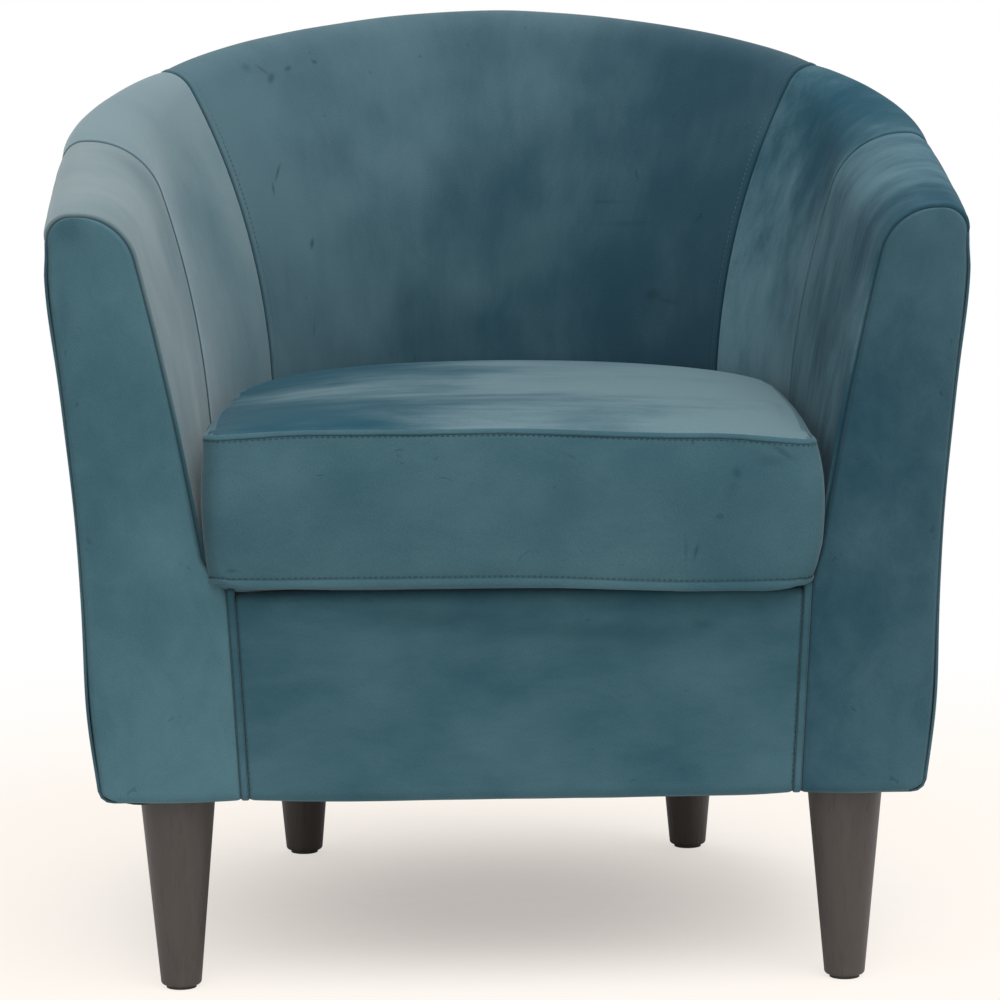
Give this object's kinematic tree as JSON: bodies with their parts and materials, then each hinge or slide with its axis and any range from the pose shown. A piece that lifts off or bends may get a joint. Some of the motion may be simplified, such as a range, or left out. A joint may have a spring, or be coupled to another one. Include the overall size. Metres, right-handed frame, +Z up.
{
  "type": "club chair",
  "caption": "Upholstered club chair with a barrel back flowing into sloping padded arms, a loose zipped box seat cushion, a seamed front border and tapered screw-in legs.",
  "frame": {"origin": "centre of the chair's box on the floor it stands on", "axes": "+Z up; the chair faces -Y; +X is to the right of a person looking at its front"},
  "size_m": [0.7226, 0.6886, 0.746],
  "materials": {
    "velvet": "matte",
    "deck_fabric": "matte",
    "dust_fabric": "matte",
    "felt": "matte",
    "foam": "matte",
    "frame_wood": "matte",
    "fibreboard": "matte",
    "leg_wood": "satin",
    "glide_plastic": "matte",
    "steel": "satin",
    "zip_nylon": "matte",
    "zip_metal": "satin"
  },
  "bodies": {
    "chair": {"arm_foam_left": "foam", "arm_foam_right": "foam", "arm_front_pad_left": "foam", "arm_front_pad_right": "foam", "arm_front_panel_left": "velvet", "arm_front_panel_right": "velvet", "arm_liners": "fibreboard", "arm_post_left": "frame_wood", "arm_post_right": "frame_wood", "arm_rail_left": "frame_wood", "arm_rail_right": "frame_wood", "back_foam": "foam", "back_rail": "frame_wood", "back_top_rail": "frame_wood", "base_hoop": "frame_wood", "corner_blocks": "frame_wood", "deck_cloth": "deck_fabric", "deck_foam": "foam", "dust_cover": "dust_fabric", "dust_cover_staples": "steel", "front_border_cover": "velvet", "front_border_pad": "foam", "front_rail": "frame_wood", "front_welts": "velvet", "inside_arm_cover_left": "velvet", "inside_arm_cover_right": "velvet", "inside_back_cover": "velvet", "inside_wing_cover_left": "velvet", "inside_wing_cover_right": "velvet", "leg_front_left": "leg_wood", "leg_front_right": "leg_wood", "leg_glides": "glide_plastic", "leg_hanger_bolts": "steel", "leg_mount_plates": "steel", "leg_plate_screws": "steel", "leg_rear_left": "leg_wood", "leg_rear_right": "leg_wood", "liner_back": "fibreboard", "outer_board_back": "fibreboard", "outer_board_left": "fibreboard", "outer_board_right": "fibreboard", "outside_arm_cover_left": "velvet", "outside_arm_cover_right": "velvet", "outside_back_cover": "velvet", "rib_back_center": "frame_wood", "rib_back_left": "frame_wood", "rib_back_right": "frame_wood", "rib_left": "frame_wood", "rib_right": "frame_wood", "seat_springs": "steel", "side_rail_left": "frame_wood", "side_rail_right": "frame_wood", "spring_clips": "steel", "spring_insulator": "felt"},
    "seat_cushion": {"cushion_core": "foam", "cushion_top_panel": "velvet", "cushion_bottom_panel": "velvet", "cushion_boxing": "velvet", "cushion_zip": "zip_nylon"},
    "zip_slider": {"zip_slider": "zip_metal"}
  },
  "joints": [
    {"name": "cushion_lift", "type": "slide", "parent": "chair", "child": "seat_cushion", "axis": [0, 0, 1], "range_m": [0, 0.45]},
    {"name": "zip_run", "type": "hinge", "parent": "seat_cushion", "child": "zip_slider", "pos_m": [0, -0.02434, 0.3895], "axis": [0, 0, 1], "range_deg": [0, 118.5]}
  ]
}
